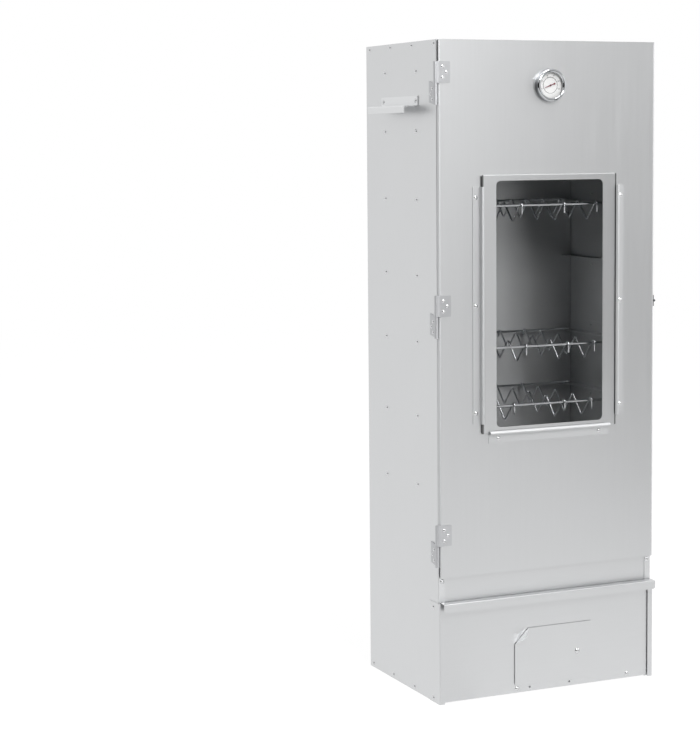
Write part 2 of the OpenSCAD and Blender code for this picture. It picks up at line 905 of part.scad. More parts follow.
module hinge_door_rivets() {
  color(rod_steel) hinge_door_places() {
    translate([0, 0, leaf_t]) rivet(leaf_t + sheet, leaf_head, leaf_head_rise, leaf_shank);
  }
}

// Stepped shank of the latch: collar against the side panel, journal, head
module latch_pivot() {
  color(dark_steel) translate([x_side - sheet, latch_y, latch_z]) rotate([0, 90, 0]) {
    cylinder(d = latch_pivot_d, h = x_latch_head + latch_head_t - x_wall);
    translate([0, 0, sheet]) cylinder(d = latch_w * 0.75, h = x_hook - slip - x_side);
    translate([0, 0, x_latch_head - x_wall]) cylinder(d = latch_w * 0.85, h = latch_head_t);
  }
}

// Hook lever, standing upright when open, with a slot that drops over the stud. The slot is
// eased towards the pivot, because the stud enters it along an arc.
module latch_hook() {
  color(dark_steel) difference() {
    along_x(x_hook, x_hook + latch_t) difference() {
      union() {
        translate([latch_y, latch_z]) circle(latch_w / 2);
        translate([latch_y - latch_w / 2, latch_z]) square([latch_w, stud_run]);
        translate([latch_y, latch_z + stud_run]) circle(latch_w / 2);
        translate([latch_y + latch_w * 0.2, latch_z + stud_run]) square([latch_w * 0.3, latch_w * 1.1]);
      }
      translate([latch_y, latch_z + stud_run]) circle(stud_d / 2 + seat_gap);
      translate([latch_y - latch_w, latch_z + stud_run - stud_d / 2 - seat_gap - slot_ease]) {
        square([latch_w, stud_d + 2 * seat_gap + slot_ease]);
      }
    }
    translate([x_hook - over, latch_y, latch_z]) rotate([0, 90, 0]) {
      cylinder(r = latch_pivot_d / 2 + run_gap, h = latch_t + 2 * over);
    }
  }
}

// Plate on the door's right edge with the stud for the hook
module latch_keeper() {
  color(dark_steel) {
    difference() {
      block([x_door, y_door + sheet, latch_z - keeper_h / 2], [x_keeper, y_return, latch_z + keeper_h / 2]);
      keeper_places() translate([0, 0, -keeper_t]) cylinder(d = keeper_shank + 2 * run_gap, h = 3 * keeper_t);
    }
    translate([x_keeper, stud_y, latch_z]) rotate([0, 90, 0]) {
      cylinder(d = stud_d, h = x_latch_head + slip - x_keeper);
    }
  }
}

module keeper_places() {
  for (side = [-1, 1]) {
    translate([x_keeper, stud_y, latch_z + side * keeper_rivet_rise]) rotate([0, 90, 0]) children();
  }
}

module keeper_rivets() {
  color(dark_steel) keeper_places() rivet(keeper_t + sheet, keeper_head, keeper_rise, keeper_shank);
}

module damper_pivot() {
  color(rod_steel) translate([damper_arm, 0, damper_z + damper_t + slip]) {
    rivet(damper_t + slip + seat_gap + sheet, damper_pivot_d * 2, damper_head_rise, damper_pivot_d);
  }
}

// Flat disc over the smoke vent, with an arm to its pivot and a folded finger tab
module damper_plate() {
  color(steel) translate([0, 0, damper_z]) {
    linear_extrude(damper_t) difference() {
      union() {
        circle(damper_r, $fn = 96);
        translate([damper_arm, 0]) circle(damper_tail);
        translate([0, -damper_tail]) square([damper_arm, 2 * damper_tail]);
        translate([-damper_r - tab_reach, -tab_w / 2]) square([damper_r, tab_w]);
      }
      translate([damper_arm, 0]) circle(damper_pivot_d / 2 + run_gap);
    }
    block([-damper_r - tab_reach, -tab_w / 2, 0], [-damper_r - tab_reach + damper_t, tab_w / 2, tab_rise]);
  }
}

// Door skin with turned edges and the hole behind the window
module door_panel() {
  half = sheet / 2;
  edge = x_door - half;
  left_low = hinge_low - half_hinge;
  left_high = hinge_high + half_hinge;
  color(steel) difference() {
    union() {
      along_z(door_bottom, door_top) {
        fold([[-edge, y_return], [-edge, y_door + half], [edge, y_door + half], [edge, y_return]]);
      }
      for (z = [door_bottom, door_top - sheet]) {
        block([-x_door + bend_clear, y_door, z], [x_door - bend_clear, y_return, z + sheet]);
      }
    }
    for (z = [[door_bottom - 1, left_low], [left_high, door_top + 1]]) {
      block([-x_door - 1, y_skin, z[0]], [-x_door + bend_clear, y_front, z[1]]);
    }
    along_y(y_door - 1, y_skin + 1) {
      round_rect([-door_hole_w / 2, door_hole_low], [door_hole_w / 2, door_hole_high], window_r);
    }
    on_front(0, y_skin + over, dial_z) cylinder(r = neck_r + slip, h = sheet + 2 * over);
    hinge_door_places() translate([0, 0, -2 * sheet]) cylinder(r = leaf_hole, h = 3 * sheet);
    track_rivet_places() translate([0, 0, -2 * sheet]) cylinder(r = shank_hole, h = 3 * sheet);
    keeper_places() translate([0, 0, -4 * sheet]) cylinder(d = keeper_shank + 2 * run_gap, h = 4 * sheet);
  }
}

// Flat seal strip on the back of the door, round all four edges
module door_seal() {
  outer = x_door - bend_clear - slip;
  low = door_bottom + sheet + slip;
  high = door_top - sheet - slip;
  color(black) difference() {
    block([-outer, y_skin, low], [outer, y_return, high]);
    block([-outer + seal_w, y_skin - 1, low + seal_w], [outer - seal_w, y_return + 1, high - seal_w]);
  }
}

module track_rivet_places() {
  for (x = [-track_rivet_x, track_rivet_x], z = track_rivet_z) on_front(x, y_door, z) children();
  for (x = [-sill_rivet_x, sill_rivet_x]) on_front(x, y_door, sill_rivet_z) children();
}

// Direction square to u, on its left
function left_of(u) = [-u[1], u[0]];

// Arc of a sheet's face, off to the left of its middle line, at corner p turning from direction u to v
function bend_arc(p, u, v, r, off) =
  let (half_angle = acos(-u * v) / 2)
  let (way = sign(left_of(u) * v))
  let (centre = p + (v - u) / norm(v - u) * r / sin(half_angle))
  let (start = atan2(-way * left_of(u)[1], -way * left_of(u)[0]))
  let (step = way * (180 - 2 * half_angle) / lip_chords)
  [for (i = [0:lip_chords]) centre + (r - way * off) * [cos(start + i * step), sin(start + i * step)]];

// Section of a sheet bent to any angles along the middle line given by path, its bends drawn as chords
module bent_sheet(path, t = sheet) {
  last = len(path) - 1;
  ways = [for (i = [0:last - 1]) (path[i + 1] - path[i]) / norm(path[i + 1] - path[i])];
  faces = [for (off = [-t / 2, t / 2]) concat(
    [path[0] + off * left_of(ways[0])],
    [for (i = [1:last - 1]) each bend_arc(path[i], ways[i - 1], ways[i], 1.5 * t, off)],
    [path[last] + off * left_of(ways[last - 1])])];
  count = len(faces[0]);
  polygon(concat(faces[0], [for (i = [1:count]) faces[1][count - i]]));
}

// Side track for the window frame, its lip folded back towards the frame, drawn for the right side
module side_track() {
  half = sheet / 2;
  difference() {
    along_z(track_low, track_high) {
      bent_sheet([
        [x_track + sheet + track_flange, y_door - half],
        [x_track + half, y_door - half],
        [x_track + half, y_tip],
        [x_track + half - lip_run, y_tip + lip_run]]);
    }
    track_rivet_places() cylinder(r = shank_hole, h = 3 * sheet);
  }
}

module left_track() {
  color(steel) mirror([1, 0, 0]) side_track();
}

module right_track() {
  color(steel) side_track();
}

// Track under the window frame, its lip folded back up towards the frame
module sill_track() {
  half = sheet / 2;
  color(steel) difference() {
    along_x(-sill_len / 2, sill_len / 2) {
      bent_sheet([
        [y_door - half, sill_web - sheet - sill_flange],
        [y_door - half, sill_web - half],
        [y_tip, sill_web - half],
        [y_tip + lip_run, sill_web - half + lip_run]]);
    }
    track_rivet_places() cylinder(r = shank_hole, h = 3 * sheet);
  }
}

module track_rivets() {
  color(rod_steel) track_rivet_places() {
    translate([0, 0, sheet]) rivet(2 * sheet, track_rivet_head, track_rivet_top);
  }
}

// Turns children about the dial's axis: their z points forward from the door's face
module at_dial() {
  on_front(0, y_door, dial_z) children();
}

// Spun cup with a ledge for the dial and a half-round bezel over the lens
module thermometer_case() {
  color("#d5d8da") at_dial() rotate_extrude($fn = 96) {
    difference() {
      square([case_r, bezel_foot]);
      translate([-1, dial_seat]) square([bore_r + 1, case_depth]);
      translate([-1, case_wall]) square([bore_r - dial_ledge + 1, case_depth]);
      translate([-1, -1]) square([neck_r + slip + 1, case_depth]);
    }
    translate([case_r - bezel_w / 2, bezel_foot]) intersection() {
      circle(d = bezel_w);
      translate([-bezel_w, 0]) square(2 * bezel_w);
    }
  }
}

module thermometer_dial() {
  color("white") at_dial() translate([0, 0, dial_seat]) difference() {
    cylinder(r = bore_r - slip, h = dial_t, $fn = 96);
    translate([0, 0, -1]) cylinder(r = dial_bore, h = dial_t + 2);
  }
}

module thermometer_lens() {
  color("#d8e6ec88") at_dial() translate([0, 0, lens_seat - slip]) {
    cylinder(r = bore_r - slip, h = lens_t, $fn = 96);
  }
}

// Probe with a threaded neck behind the dial and a thin spindle through it
module thermometer_probe() {
  color(rod_steel) at_dial() {
    translate([0, 0, -neck_back]) cylinder(r = neck_r, h = neck_back + case_wall + neck_front);
    translate([0, 0, -probe_len]) cylinder(d = probe_d, h = probe_len);
    translate([0, 0, -probe_len]) sphere(d = probe_d);
    cylinder(r = spindle_r, h = spindle_top);
  }
}

module thermometer_nut() {
  color(rod_steel) at_dial() translate([0, 0, -sheet - nut_t]) difference() {
    cylinder(d = nut_flats / cos(30), h = nut_t, $fn = 6);
    translate([0, 0, -1]) cylinder(r = neck_r + slip, h = nut_t + 2);
  }
}

// Needle at rest near eight o'clock, with a counterweight tail
module thermometer_needle() {
  color("#c02418") at_dial() rotate(180 + rest_turn) {
    translate([0, 0, needle_seat]) linear_extrude(needle_t) difference() {
      union() {
        polygon([
          [0, -needle_root],
          [needle_long, -needle_point],
          [needle_long, needle_point],
          [0, needle_root]]);
        translate([-needle_tail, -tail_half]) square([needle_tail, 2 * tail_half]);
        translate([-needle_tail + weight_r, 0]) circle(weight_r);
        circle(hub_r);
      }
      circle(spindle_r + run_gap);
    }
  }
}

// Bevels along the window frame's front edges
module frame_bevels() {
  x = window_w / 2;
  c = frame_bevel;
  for (turn = [0, 1]) mirror([turn, 0, 0]) along_z(window_sill - 1, window_top + 1) {
    polygon([[x - c - 1, y_window - 1], [x + 1, y_window - 1], [x + 1, y_window + c + 1]]);
  }
  along_x(-x - 1, x + 1) {
    polygon([
      [y_window - 1, window_top - c - 1],
      [y_window - 1, window_top + 1],
      [y_window + c + 1, window_top + 1]]);
    polygon([
      [y_window - 1, window_sill + c + 1],
      [y_window - 1, window_sill - 1],
      [y_window + c + 1, window_sill - 1]]);
  }
}

// Window frame: a plate with a clear opening and a rebate behind for the pane
module window_frame() {
  x = window_w / 2;
  color(steel) difference() {
    along_y(y_window, y_window_back) round_rect([-x, window_sill], [x, window_top], plate_r);
    along_y(y_window - 1, y_window_back + 1) {
      round_rect([-clear_w / 2, clear_low], [clear_w / 2, clear_high], window_r);
    }
    block([-pane_w / 2 - rebate, y_window + lip_t, pane_low - rebate],
      [pane_w / 2 + rebate, y_window_back + 1, pane_high + rebate]);
    frame_bevels();
  }
}

module window_glass() {
  y = y_window + lip_t;
  color("#9fb3b866") block([-pane_w / 2, y, pane_low], [pane_w / 2, y + glass_t, pane_high]);
}

// Bead that seals the edge of the pane in its rebate
module window_bead() {
  y = y_window + lip_t;
  gap = slip / 2;
  color(black) difference() {
    block([-pane_w / 2 - bead_w - gap, y, pane_low - bead_w - gap],
      [pane_w / 2 + bead_w + gap, y + glass_t, pane_high + bead_w + gap]);
    block([-pane_w / 2 - gap, y - 1, pane_low - gap], [pane_w / 2 + gap, y + glass_t + 1, pane_high + gap]);
  }
}

// Waste outside the round lower corners of the grip bar's lip
module bar_corners() {
  for (turn = [0, 1]) mirror([turn, 0, 0]) along_y(y_bar - 1, y_bar + bend_clear) {
    translate([panel_w / 2 - bar_r, bar_top - bar_lip]) difference() {
      translate([0, -1]) square(bar_r + 1);
      translate([0, bar_r]) circle(bar_r);
    }
  }
}

// Panel over the fire compartment, its top edge folded into a grip bar
module draught_panel() {
  half = sheet / 2;
  color(steel) difference() {
    along_x(-panel_w / 2, panel_w / 2) {
      fold([
        [y_panel, panel_foot],
        [y_panel, bar_top - half],
        [y_bar + half, bar_top - half],
        [y_bar + half, bar_top - bar_lip]]);
    }
    along_y(y_panel_face - 1, y_panel + sheet) {
      round_rect([air_x - air_w / 2, air_z - air_h / 2], [air_x + air_w / 2, air_z + air_h / 2], air_r);
    }
    for (x = spare_hole_x) {
      on_front(x, y_panel_face, low_rivet_z) translate([0, 0, -2 * sheet]) {
        cylinder(d = spare_hole_d, h = 3 * sheet);
      }
    }
    bar_corners();
    panel_rivet_places() translate([0, 0, -2 * sheet]) cylinder(r = shank_hole, h = 3 * sheet);
    on_front(pivot_x, y_panel_face, pivot_z) translate([0, 0, -2 * sheet]) {
      cylinder(r = pivot_d / 2 + run_gap, h = 3 * sheet);
    }
  }
}

// The stop under the shutter's lower corner, and its twin near the right end
module panel_rivet_places() {
  for (x = panel_rivet_x) on_front(x, y_panel_face, low_rivet_z) children();
}

module panel_rivets() {
  color(rod_steel) panel_rivet_places() rivet(sheet);
}

// Shoulder rivet on which the shutter turns
module shutter_pivot() {
  color(rod_steel) on_front(pivot_x, y_panel_face, pivot_z) {
    translate([0, 0, -sheet]) cylinder(d = pivot_d, h = sheet + shutter_lift + shutter_t + seat_gap);
    cylinder(d = pivot_collar, h = shutter_lift - slip);
    translate([0, 0, shutter_lift + shutter_t + seat_gap]) dome(pivot_head, rivet_rise);
  }
}

// Shutter plate with one corner folded out square as a finger tab
module air_shutter() {
  x0 = shutter_x[0];
  x1 = shutter_x[1];
  z0 = shutter_z[0];
  z1 = shutter_z[1];
  edge = tab_leg * sqrt(2);
  color(steel) {
    difference() {
      along_y(y_shutter_face, y_shutter) difference() {
        round_rect([x0, z0], [x1, z1], plate_r);
        translate([x0, z1]) rotate(45) square(edge, center = true);
      }
      on_front(pivot_x, y_shutter + 1, pivot_z) cylinder(r = pivot_d / 2 + run_gap, h = shutter_t + 2);
    }
    translate([x0, y_shutter, z1 - tab_leg]) rotate([0, -45, 0]) rotate([180, 0, 0]) {
      linear_extrude(shutter_t) polygon([
        [0, 0],
        [edge, 0],
        [edge / 2 + tab_tip, edge / 2 - tab_tip],
        [edge / 2 - tab_tip, edge / 2 - tab_tip]]);
    }
  }
}

// Cross rods of a rack that lie on the ledges at the given height
module rack_rods(ledge) {
  for (y = rod_y) translate([-rod_half, y, ledge + rack_lift]) rotate([0, 90, 0]) {
    cylinder(r = rod_r, h = 2 * rod_half);
  }
}

// Points of one bend of a zigzag wire, as [y, z, heading], with the heading going from a to b
// and the bend's centre on the right of the wire for side 1 or on its left for side -1
function wire_bend_points(centre, a, b, side, steps) = [
  for (k = [0:steps])
    let (way = a + (b - a) * k / steps)
    [centre[0] - side * wire_bend * sin(way), centre[1] + side * wire_bend * cos(way), way]];

// Middle line of a zigzag wire: hooked down over the front rod, in waves below the rods' height,
// and over the rear rod. Bend centres alternate between the rods' height and zigzag_drop below
// it, and each straight leg is the inner tangent of two neighbouring bends.
function wire_path(height) = concat(
  [[rod_y[0] - wire_bend, height - front_hook, 90]],
  wire_bend_points([rod_y[0], height], 90, -leg_slope, 1, 5),
  [for (i = [1:2 * waves - 1])
    let (side = i % 2 == 0 ? 1 : -1)
    let (centre = [rod_y[0] + i * half_wave, height - (1 - side) / 2 * zigzag_drop])
    each wire_bend_points(centre, side * leg_slope, -side * leg_slope, side, 3)],
  wire_bend_points([rod_y[1], height], leg_slope, -90, 1, 5),
  [[rod_y[1] + wire_bend, height - rear_hook, -90]]);

// One zigzag wire: a ring of points round each point of its path, joined by triangles
module zigzag_wire(height) {
  path = wire_path(height);
  sides = 8;
  rings = len(path);
  points = [for (p = path, j = [0:sides - 1])
    let (turn = 360 * j / sides, out = wire_r * sin(turn))
    [wire_r * cos(turn), p[0] - out * sin(p[2]), p[1] + out * cos(p[2])]];
  skin = [for (i = [0:rings - 2], j = [0:sides - 1])
    let (a = i * sides + j, b = i * sides + (j + 1) % sides)
    each [[a, b, b + sides], [a, b + sides, a + sides]]];
  last = (rings - 1) * sides;
  front_cap = [for (j = [1:sides - 2]) [0, j + 1, j]];
  rear_cap = [for (j = [1:sides - 2]) [last, last + j, last + j + 1]];
  polyhedron(points, concat(skin, front_cap, rear_cap));
}

module rack_wires(ledge, shift) {
  for (i = [0:3]) translate([(i - 1.5) * wire_pitch + shift[i], 0, 0]) zigzag_wire(ledge + rack_lift);
}

module top_rack_rods() {
  color(rod_steel) rack_rods(rail_5);
}

module top_rack_wires() {
  color(rod_steel) rack_wires(rail_5, top_shift);
}

module middle_rack_rods() {
  color(rod_steel) rack_rods(rail_3);
}

module middle_rack_wires() {
  color(rod_steel) rack_wires(rail_3, middle_shift);
}

module lower_rack_rods() {
  color(rod_steel) rack_rods(rail_2);
}

module lower_rack_wires() {
  color(rod_steel) rack_wires(rail_2, lower_shift);
}

// Pressed pan whose rim lies on the lowest ledges
module water_pan() {
  low = water_top - water_depth;
  outer = [water_x, water_y[1] - water_end_rim];
  inner = outer - [pan_t, pan_t];
  color(steel) difference() {
    union() {
      along_z(water_top - pan_t, water_top) {
        round_rect([-water_rim_x, water_y[0]], [water_rim_x, water_y[1]], water_r);
      }
      along_z(low, water_top) round_rect(-outer, outer, water_r);
    }
    along_z(low + pan_t, water_top + 1) round_rect(-inner, inner, water_r - pan_t);
  }
}

// Open tray for embers and sawdust on the floor pan, with a pull lip at the front
module ember_tray() {
  x = ember_w / 2;
  top = ember_floor + ember_h;
  color(dark_steel) {
    difference() {
      block([-x, ember_y[0], ember_floor], [x, ember_y[1], top]);
      block([-x + pan_t, ember_y[0] + pan_t, ember_floor + pan_t], [x - pan_t, ember_y[1] - pan_t, top + 1]);
    }
    block([-pull_w / 2, ember_y[0] - pull_reach, top - pan_t], [pull_w / 2, ember_y[0], top]);
  }
}

left_side();
right_side();
back_panel();
roof();
floor_pan();
front_strip();
left_rails();
right_rails();
left_handle();
right_handle();
left_guide();
right_guide();
left_rivets();
right_rivets();
back_rivets();
front_rivets();
hinge_cabinet_leaves();
hinge_pins();
hinge_cabinet_rivets();
latch_pivot();
damper_pivot();
door_panel();
door_seal();
hinge_door_leaves();
hinge_door_rivets();
left_track();
right_track();
sill_track();
track_rivets();
latch_keeper();
keeper_rivets();
thermometer_case();
thermometer_dial();
thermometer_lens();
thermometer_probe();
thermometer_nut();
thermometer_needle();
window_frame();
window_glass();
window_bead();
draught_panel();
panel_rivets();
shutter_pivot();
air_shutter();
top_rack_rods();
top_rack_wires();
middle_rack_rods();
middle_rack_wires();
lower_rack_rods();
lower_rack_wires();
water_pan();
ember_tray();
latch_hook();
damper_plate();
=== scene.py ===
"""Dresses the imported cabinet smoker: round zigzag wires, a printed dial and sheet-metal finishes."""

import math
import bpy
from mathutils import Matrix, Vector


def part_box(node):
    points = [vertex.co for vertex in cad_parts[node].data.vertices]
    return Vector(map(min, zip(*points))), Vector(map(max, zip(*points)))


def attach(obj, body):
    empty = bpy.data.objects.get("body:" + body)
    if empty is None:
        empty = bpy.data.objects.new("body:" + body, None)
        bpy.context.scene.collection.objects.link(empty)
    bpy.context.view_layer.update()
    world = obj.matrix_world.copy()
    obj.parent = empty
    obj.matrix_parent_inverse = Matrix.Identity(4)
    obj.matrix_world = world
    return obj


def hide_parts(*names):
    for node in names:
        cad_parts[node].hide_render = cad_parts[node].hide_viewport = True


bl_info = {
    "name": "Cabinet smoker finish",
    "version": (1, 0, 0),
    "blender": (4, 5, 0),
    "location": "View3D > Sidebar > Smoker",
    "description": "Round rack wires, a printed dial and sheet-metal finishes for a cabinet smoker",
    "category": "Object",
}

import bpy
import numpy as np

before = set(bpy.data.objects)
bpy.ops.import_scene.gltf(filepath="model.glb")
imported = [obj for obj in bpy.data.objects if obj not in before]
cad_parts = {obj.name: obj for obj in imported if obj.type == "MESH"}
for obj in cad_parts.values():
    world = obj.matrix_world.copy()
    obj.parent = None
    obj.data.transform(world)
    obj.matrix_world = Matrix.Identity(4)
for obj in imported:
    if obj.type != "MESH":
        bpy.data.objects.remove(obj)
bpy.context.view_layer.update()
MM = 0.001

# Size of a rolling streak along X, Y and Z in millimetres, on sheet rolled along Z, X or Y
STREAK_L, STREAK_W = 120, 3
UPRIGHT = (STREAK_W, STREAK_W, STREAK_L)
LEVEL = (STREAK_L, STREAK_W, STREAK_W)
DEEP = (STREAK_W, STREAK_L, STREAK_W)

# Distance from the middle along X, in millimetres, at which the bends of the door and hinge leaves start
DOOR_BEND = 194
LEAF_BEND = 196
# Width of the strip of the window frame that lies behind a track's lip and is painted dark as the lip's
# shade, in millimetres
TRACK_SHADE_STRIP = 3.8

# Place of each zigzag wire along X on its rack, in millimetres
RACK_LANES = {
    "top_rack": (-111.5, -39.5, 38.5, 99.5),
    "middle_rack": (-110.5, -31.5, 46.5, 95.5),
    "lower_rack": (-122.5, -53.5, 39.5, 90.5),
}

# Reach in millimetres and half width in degrees of the marks on the dial
LONG_MARK = (2.0, 1.1)
MIDDLE_MARK = (1.5, 0.7)
SHORT_MARK = (1.0, 0.5)

# Sides and steps of the round shapes
WIRE_SIDES = 16
HOOK_STEPS = 14
BEND_STEPS = 10
CASE_SIDES = 160
BEZEL_STEPS = 32


def linear(code):
    """An sRGB hex colour as linear red, green, blue and alpha 1."""
    parts = [int(code[i : i + 2], 16) / 255 for i in (1, 3, 5)]
    return tuple(c / 12.92 if c <= 0.04045 else ((c + 0.055) / 1.055) ** 2.4 for c in parts) + (1.0,)


# Properties


def tint(name, description, code):
    """A colour property with its default as an sRGB hex value."""
    return bpy.props.FloatVectorProperty(
        name=name, description=description, subtype="COLOR", size=4, default=linear(code)
    )


def length(name, description, size):
    """A length property with its default in millimetres."""
    return bpy.props.FloatProperty(name=name, description=description, unit="LENGTH", default=size * MM)


class SmokerColours(bpy.types.PropertyGroup):
    """Colours of the finishes."""

    sheet: tint("Sheet", "Tone of the bare coated sheet", "#d4d5d6")
    # Painted light: the handles get a lighter copy of the sheet's tone, so their lips look more brightly lit
    # than the side they stand on
    handle: tint("Handles", "Tone of the carry handles", "#e0e1e2")
    leaf: tint("Hinges", "Tone of the hinge leaves", "#c6c7c9")
    rivet: tint("Rivets", "Tone of the rivets", "#d0d1d2")
    wire: tint("Wire", "Tone of the rack wire", "#e2e4e6")
    # Painted reflection: the ring's tone is set darker than chrome, so it shows dark bands besides the ones
    # it really mirrors
    chrome: tint("Bright steel", "Tone of the dial's ring", "#b6b8ba")
    # Painted reflection: the cup is toned far darker than steel, standing in for the dark room that its
    # mirror wall would show
    cup: tint("Cup", "Tone of the dial's drawn cup", "#77797b")
    enamel: tint("Dial", "Ground of the dial", "#f6f6f5")
    ink: tint("Ink", "Printing on the dial", "#2a2a2c")
    needle: tint("Needle", "Lacquer of the needle", "#74162a")
    oxide: tint("Dark steel", "Blackened steel", "#4a4c4f")
    seal: tint("Seal", "Seal and pane bead", "#202022")
    glass: tint("Glass", "Tint of the panes", "#12181a")


class SmokerSizes(bpy.types.PropertyGroup):
    """Sizes of the pieces made here, which repeat those of the solids they stand for."""

    wire_d: length("Wire", "Diameter of the zigzag wires", 3)
    rod_d: length("Rod", "Diameter of the rods that the wires hang on", 4)
    rod_gap: length("Rod gap", "Room between a rod and the wire bent round it", 0.1)
    zigzag_drop: length("Drop", "Height between upper and lower bend centres", 22)
    front_hook: length("Front hook", "Length of the hooked front ends", 14)
    rear_hook: length("Rear hook", "Length of the hooked rear ends", 8)
    wire_rim: length("Wire rim", "Chamfer at the cut ends of the wires", 0.35)
    waves: bpy.props.IntProperty(name="Waves", description="Waves from front to back", default=4)
    bezel_w: length("Bezel", "Width of the half-round ring over the lens", 6)
    cup_wall: length("Cup wall", "Thickness of the dial's cup", 1.2)
    dial_seat: length("Dial seat", "Height of the ledge the dial lies on", 2.7)
    dial_ledge: length("Dial ledge", "Width of the ledge the dial lies on", 2)
    neck_r: length("Neck hole", "Radius of the hole for the probe's neck", 5.1)
    scale_r: length("Scale", "Inner radius of the dial's scale ring", 12.3)
    scale_w: length("Scale line", "Width of the dial's scale ring", 0.5)
    number_h: length("Numbers", "Height of the dial's numbers", 2.6)
    print_t: length("Print", "Thickness of the printing", 0.06)
    sweep: bpy.props.FloatProperty(
        name="Sweep",
        description="Turn of the needle over the whole scale",
        subtype="ANGLE",
        default=math.radians(220),
    )


def colours():
    """The colours as the user has set them."""
    return bpy.context.scene.smoker_colours


def sizes():
    """The sizes as the user has set them."""
    return bpy.context.scene.smoker_sizes


# Meshes


def ride_piece(name, mesh, body):
    """One object that holds a finished mesh and rides on a body."""
    piece = bpy.data.objects.new(name, mesh)
    bpy.context.scene.collection.objects.link(piece)
    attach(piece, body)
    return piece


def mesh_piece(name, points, faces, material, body, smooth=True):
    """One object from arrays of points and faces, riding on a body, with its place in its mesh."""
    mesh = bpy.data.meshes.new(name)
    mesh.from_pydata(np.asarray(points, float).tolist(), [], [list(map(int, f)) for f in faces])
    mesh.polygons.foreach_set("use_smooth", np.full(len(mesh.polygons), smooth))
    mesh.materials.append(material)
    mesh.update()
    return ride_piece(name, mesh, body)


def front_middle(node, side):
    """The middle of a round node that faces forward: its front plane for side 0, its rear one for 1."""
    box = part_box(node)
    low, high = box
    return (low[0] + high[0]) / 2, box[side][1], (low[2] + high[2]) / 2


def around(centre, radius, turn, height):
    """Points about an axis along Y, for arrays that fit each other: at a turn t from the top, a point
    lies at the centre plus (radius sin t, -height, radius cos t)."""
    r, t, h = np.broadcast_arrays(radius, turn, height)
    spread = [centre[0] + r * np.sin(t), centre[1] - h, centre[2] + r * np.cos(t)]
    return np.stack(spread, -1).reshape(-1, 3)


def tube_faces(rings, sides, start=0):
    """Quads between neighbouring rings of points, and one flat cap at each end."""
    i, j = np.meshgrid(np.arange(rings - 1), np.arange(sides), indexing="ij")
    a = start + i * sides + j
    b = start + i * sides + (j + 1) % sides
    quads = np.stack([a, b, b + sides, a + sides], -1).reshape(-1, 4)
    first = start + np.arange(sides)[::-1]
    last = start + (rings - 1) * sides + np.arange(sides)
    return list(quads) + [first, last]


def turned(profile, centre, sides):
    """Points and faces of a closed profile, rows of radius and height, turned about an axis along Y."""
    r, h = np.asarray(profile).T
    turn = np.linspace(0, 2 * math.pi, sides, endpoint=False)[:, None]
    i, j = np.meshgrid(np.arange(sides), np.arange(len(r)), indexing="ij")
    here, across = i * len(r), (i + 1) % sides * len(r)
    along = (j + 1) % len(r)
    faces = np.stack([here + j, here + along, across + along, across + j], -1).reshape(-1, 4)
    return around(centre, r, turn, h), faces


def bend_radius():
    """The wire's middle line runs round a rod at the two radii plus the gap."""
    return (sizes().rod_d + sizes().wire_d) / 2 + sizes().rod_gap


def bend(centre, start, end, side, steps):
    """Points of a wire bend as rows of y, z and heading: with the heading h going from start to end,
    the point lies at the centre plus side times the bend radius times (-sin h, cos h)."""
    way = np.radians(np.linspace(start, end, steps + 1))
    r = side * bend_radius()
    return np.stack([centre[0] - r * np.sin(way), centre[1] + r * np.cos(way), way], 1)


def zigzag_line(y0, y1, z):
    """Middle line of a zigzag wire as rows of y, z and heading. It is hooked over the front rod at y0
    and the rear rod at y1. Bend centres step evenly from rod to rod and alternate between the rods'
    height and one drop below it, and each straight leg is the inner tangent of two neighbouring bends:
    its slope is the slope between centres plus the arcsine of two bend radii over their distance."""
    size = sizes()
    r = bend_radius()
    half = (y1 - y0) / (2 * size.waves)
    drop = size.zigzag_drop
    slope = math.degrees(math.atan2(drop, half) + math.asin(2 * r / math.hypot(half, drop)))
    rows = [
        np.array([[y0 - r, z - size.front_hook, math.pi / 2]]),
        bend((y0, z), 90, -slope, 1, HOOK_STEPS),
    ]
    for i in range(1, 2 * size.waves):
        side = 1 if i % 2 == 0 else -1
        centre = (y0 + i * half, z - (1 - side) / 2 * drop)
        rows.append(bend(centre, side * slope, -side * slope, side, BEND_STEPS))
    rows.append(bend((y1, z), slope, -90, 1, HOOK_STEPS))
    rows.append(np.array([[y1 + r, z - size.rear_hook, -math.pi / 2]]))
    return np.concatenate(rows)


def zigzag_points(x, line):
    """A round section carried along a line in the plane of constant x: ring point t of a row lies at
    x + r cos t, and at the row's point plus r sin t along its normal (-sin heading, cos heading).
    The end rings are drawn in by a short chamfer so that the cut ends show a rounded rim. Gives the
    points and the count of rings."""
    rim = sizes().wire_rim
    rows = np.concatenate([line[:1], line, line[-1:]])
    ahead = rim * np.stack([np.cos(rows[:, 2]), np.sin(rows[:, 2])], 1)
    rows[1, :2] += ahead[1]
    rows[-2, :2] -= ahead[-2]
    r = np.full((len(rows), 1), sizes().wire_d / 2)
    r[[0, -1]] -= rim
    t = np.linspace(0, 2 * math.pi, WIRE_SIDES, endpoint=False)
    y, z, way = rows.T[:, :, None]
    out = r * np.sin(t)
    points = np.stack([x + r * np.cos(t), y - out * np.sin(way), z + out * np.cos(way)], -1)
    return points.reshape(-1, 3), len(rows)


# Materials


def put(tree, kind, inputs=None, **settings):
    """Adds one node to a tree. settings are its properties; inputs maps a socket's name or number to
    a value, or to another node's output socket, which is linked."""
    node = tree.nodes.new(kind)
    for key, value in settings.items():
        setattr(node, key, value)
    for key, value in (inputs or {}).items():
        if isinstance(value, bpy.types.NodeSocket):
            tree.links.new(value, node.inputs[key])
        else:
            node.inputs[key].default_value = value
    return node


def new_material(name):
    """An empty node material, and its tree."""
    material = bpy.data.materials.new(name)
    material.use_nodes = True
    tree = material.node_tree
    tree.nodes.clear()
    return material, tree


def finish_material(tree, shader):
    """Joins a shader to the material's output."""
    put(tree, "ShaderNodeOutputMaterial", {"Surface": shader.outputs[0]})


def toned(colour, share):
    """A colour made darker or lighter by a share, no lighter than white."""
    return tuple(min(1.0, share * c) for c in colour[:3]) + (1.0,)


